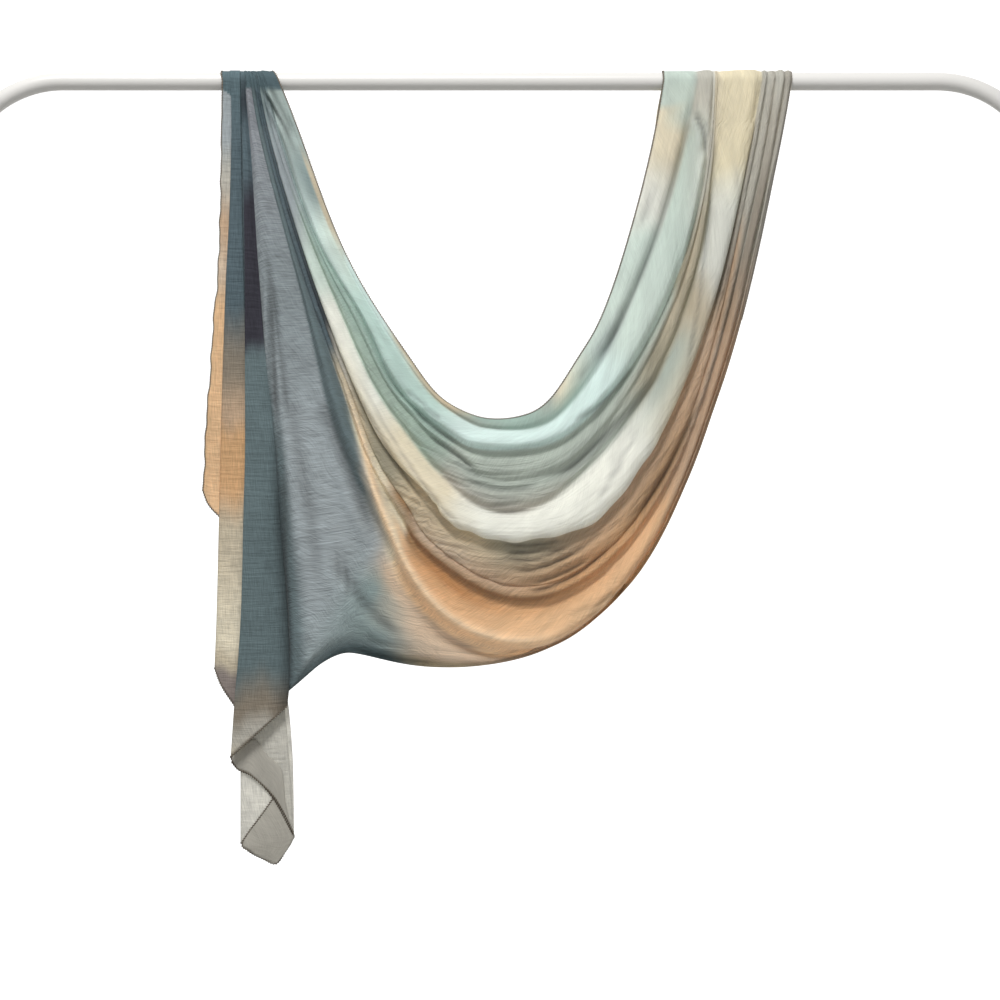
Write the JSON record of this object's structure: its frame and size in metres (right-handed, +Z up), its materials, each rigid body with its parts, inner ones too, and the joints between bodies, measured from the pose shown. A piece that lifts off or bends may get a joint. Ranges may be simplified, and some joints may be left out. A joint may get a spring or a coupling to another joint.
{
  "type": "headscarf hung on a rail",
  "caption": "Long sheer headscarf hung in one deep swag of soft folds over a bent tube rail, with its end gathered and hanging at the left.",
  "frame": {"origin": "on the rail's axis, half way along its straight length", "axes": "+X along the rail to the picture's right, +Y away from the viewer, +Z up; the front of the scarf faces -Y"},
  "size_m": [1.118, 0.0451, 0.7997],
  "materials": {
    "painted_steel": "gloss white paint",
    "mint_cloth": "sheer slub weave, dyed mint and cream",
    "slate_cloth": "sheer slub weave, dyed dark slate",
    "orange_cloth": "sheer slub weave, dyed soft orange",
    "cream_cloth": "sheer slub weave, dyed cream and beige",
    "grey_cloth": "sheer slub weave, dyed pale grey"
  },
  "bodies": {
    "root": {"rail": "painted_steel", "swag_upper": "mint_cloth", "swag_lower": "grey_cloth", "front_strip": "slate_cloth", "outer_flap": "orange_cloth", "cream_fold": "cream_cloth", "tail_upper": "grey_cloth", "tail_lower": "grey_cloth", "left_wrap": "slate_cloth", "right_wrap": "mint_cloth", "back_loop": "slate_cloth", "back_tail": "grey_cloth"}
  },
  "joints": []
}
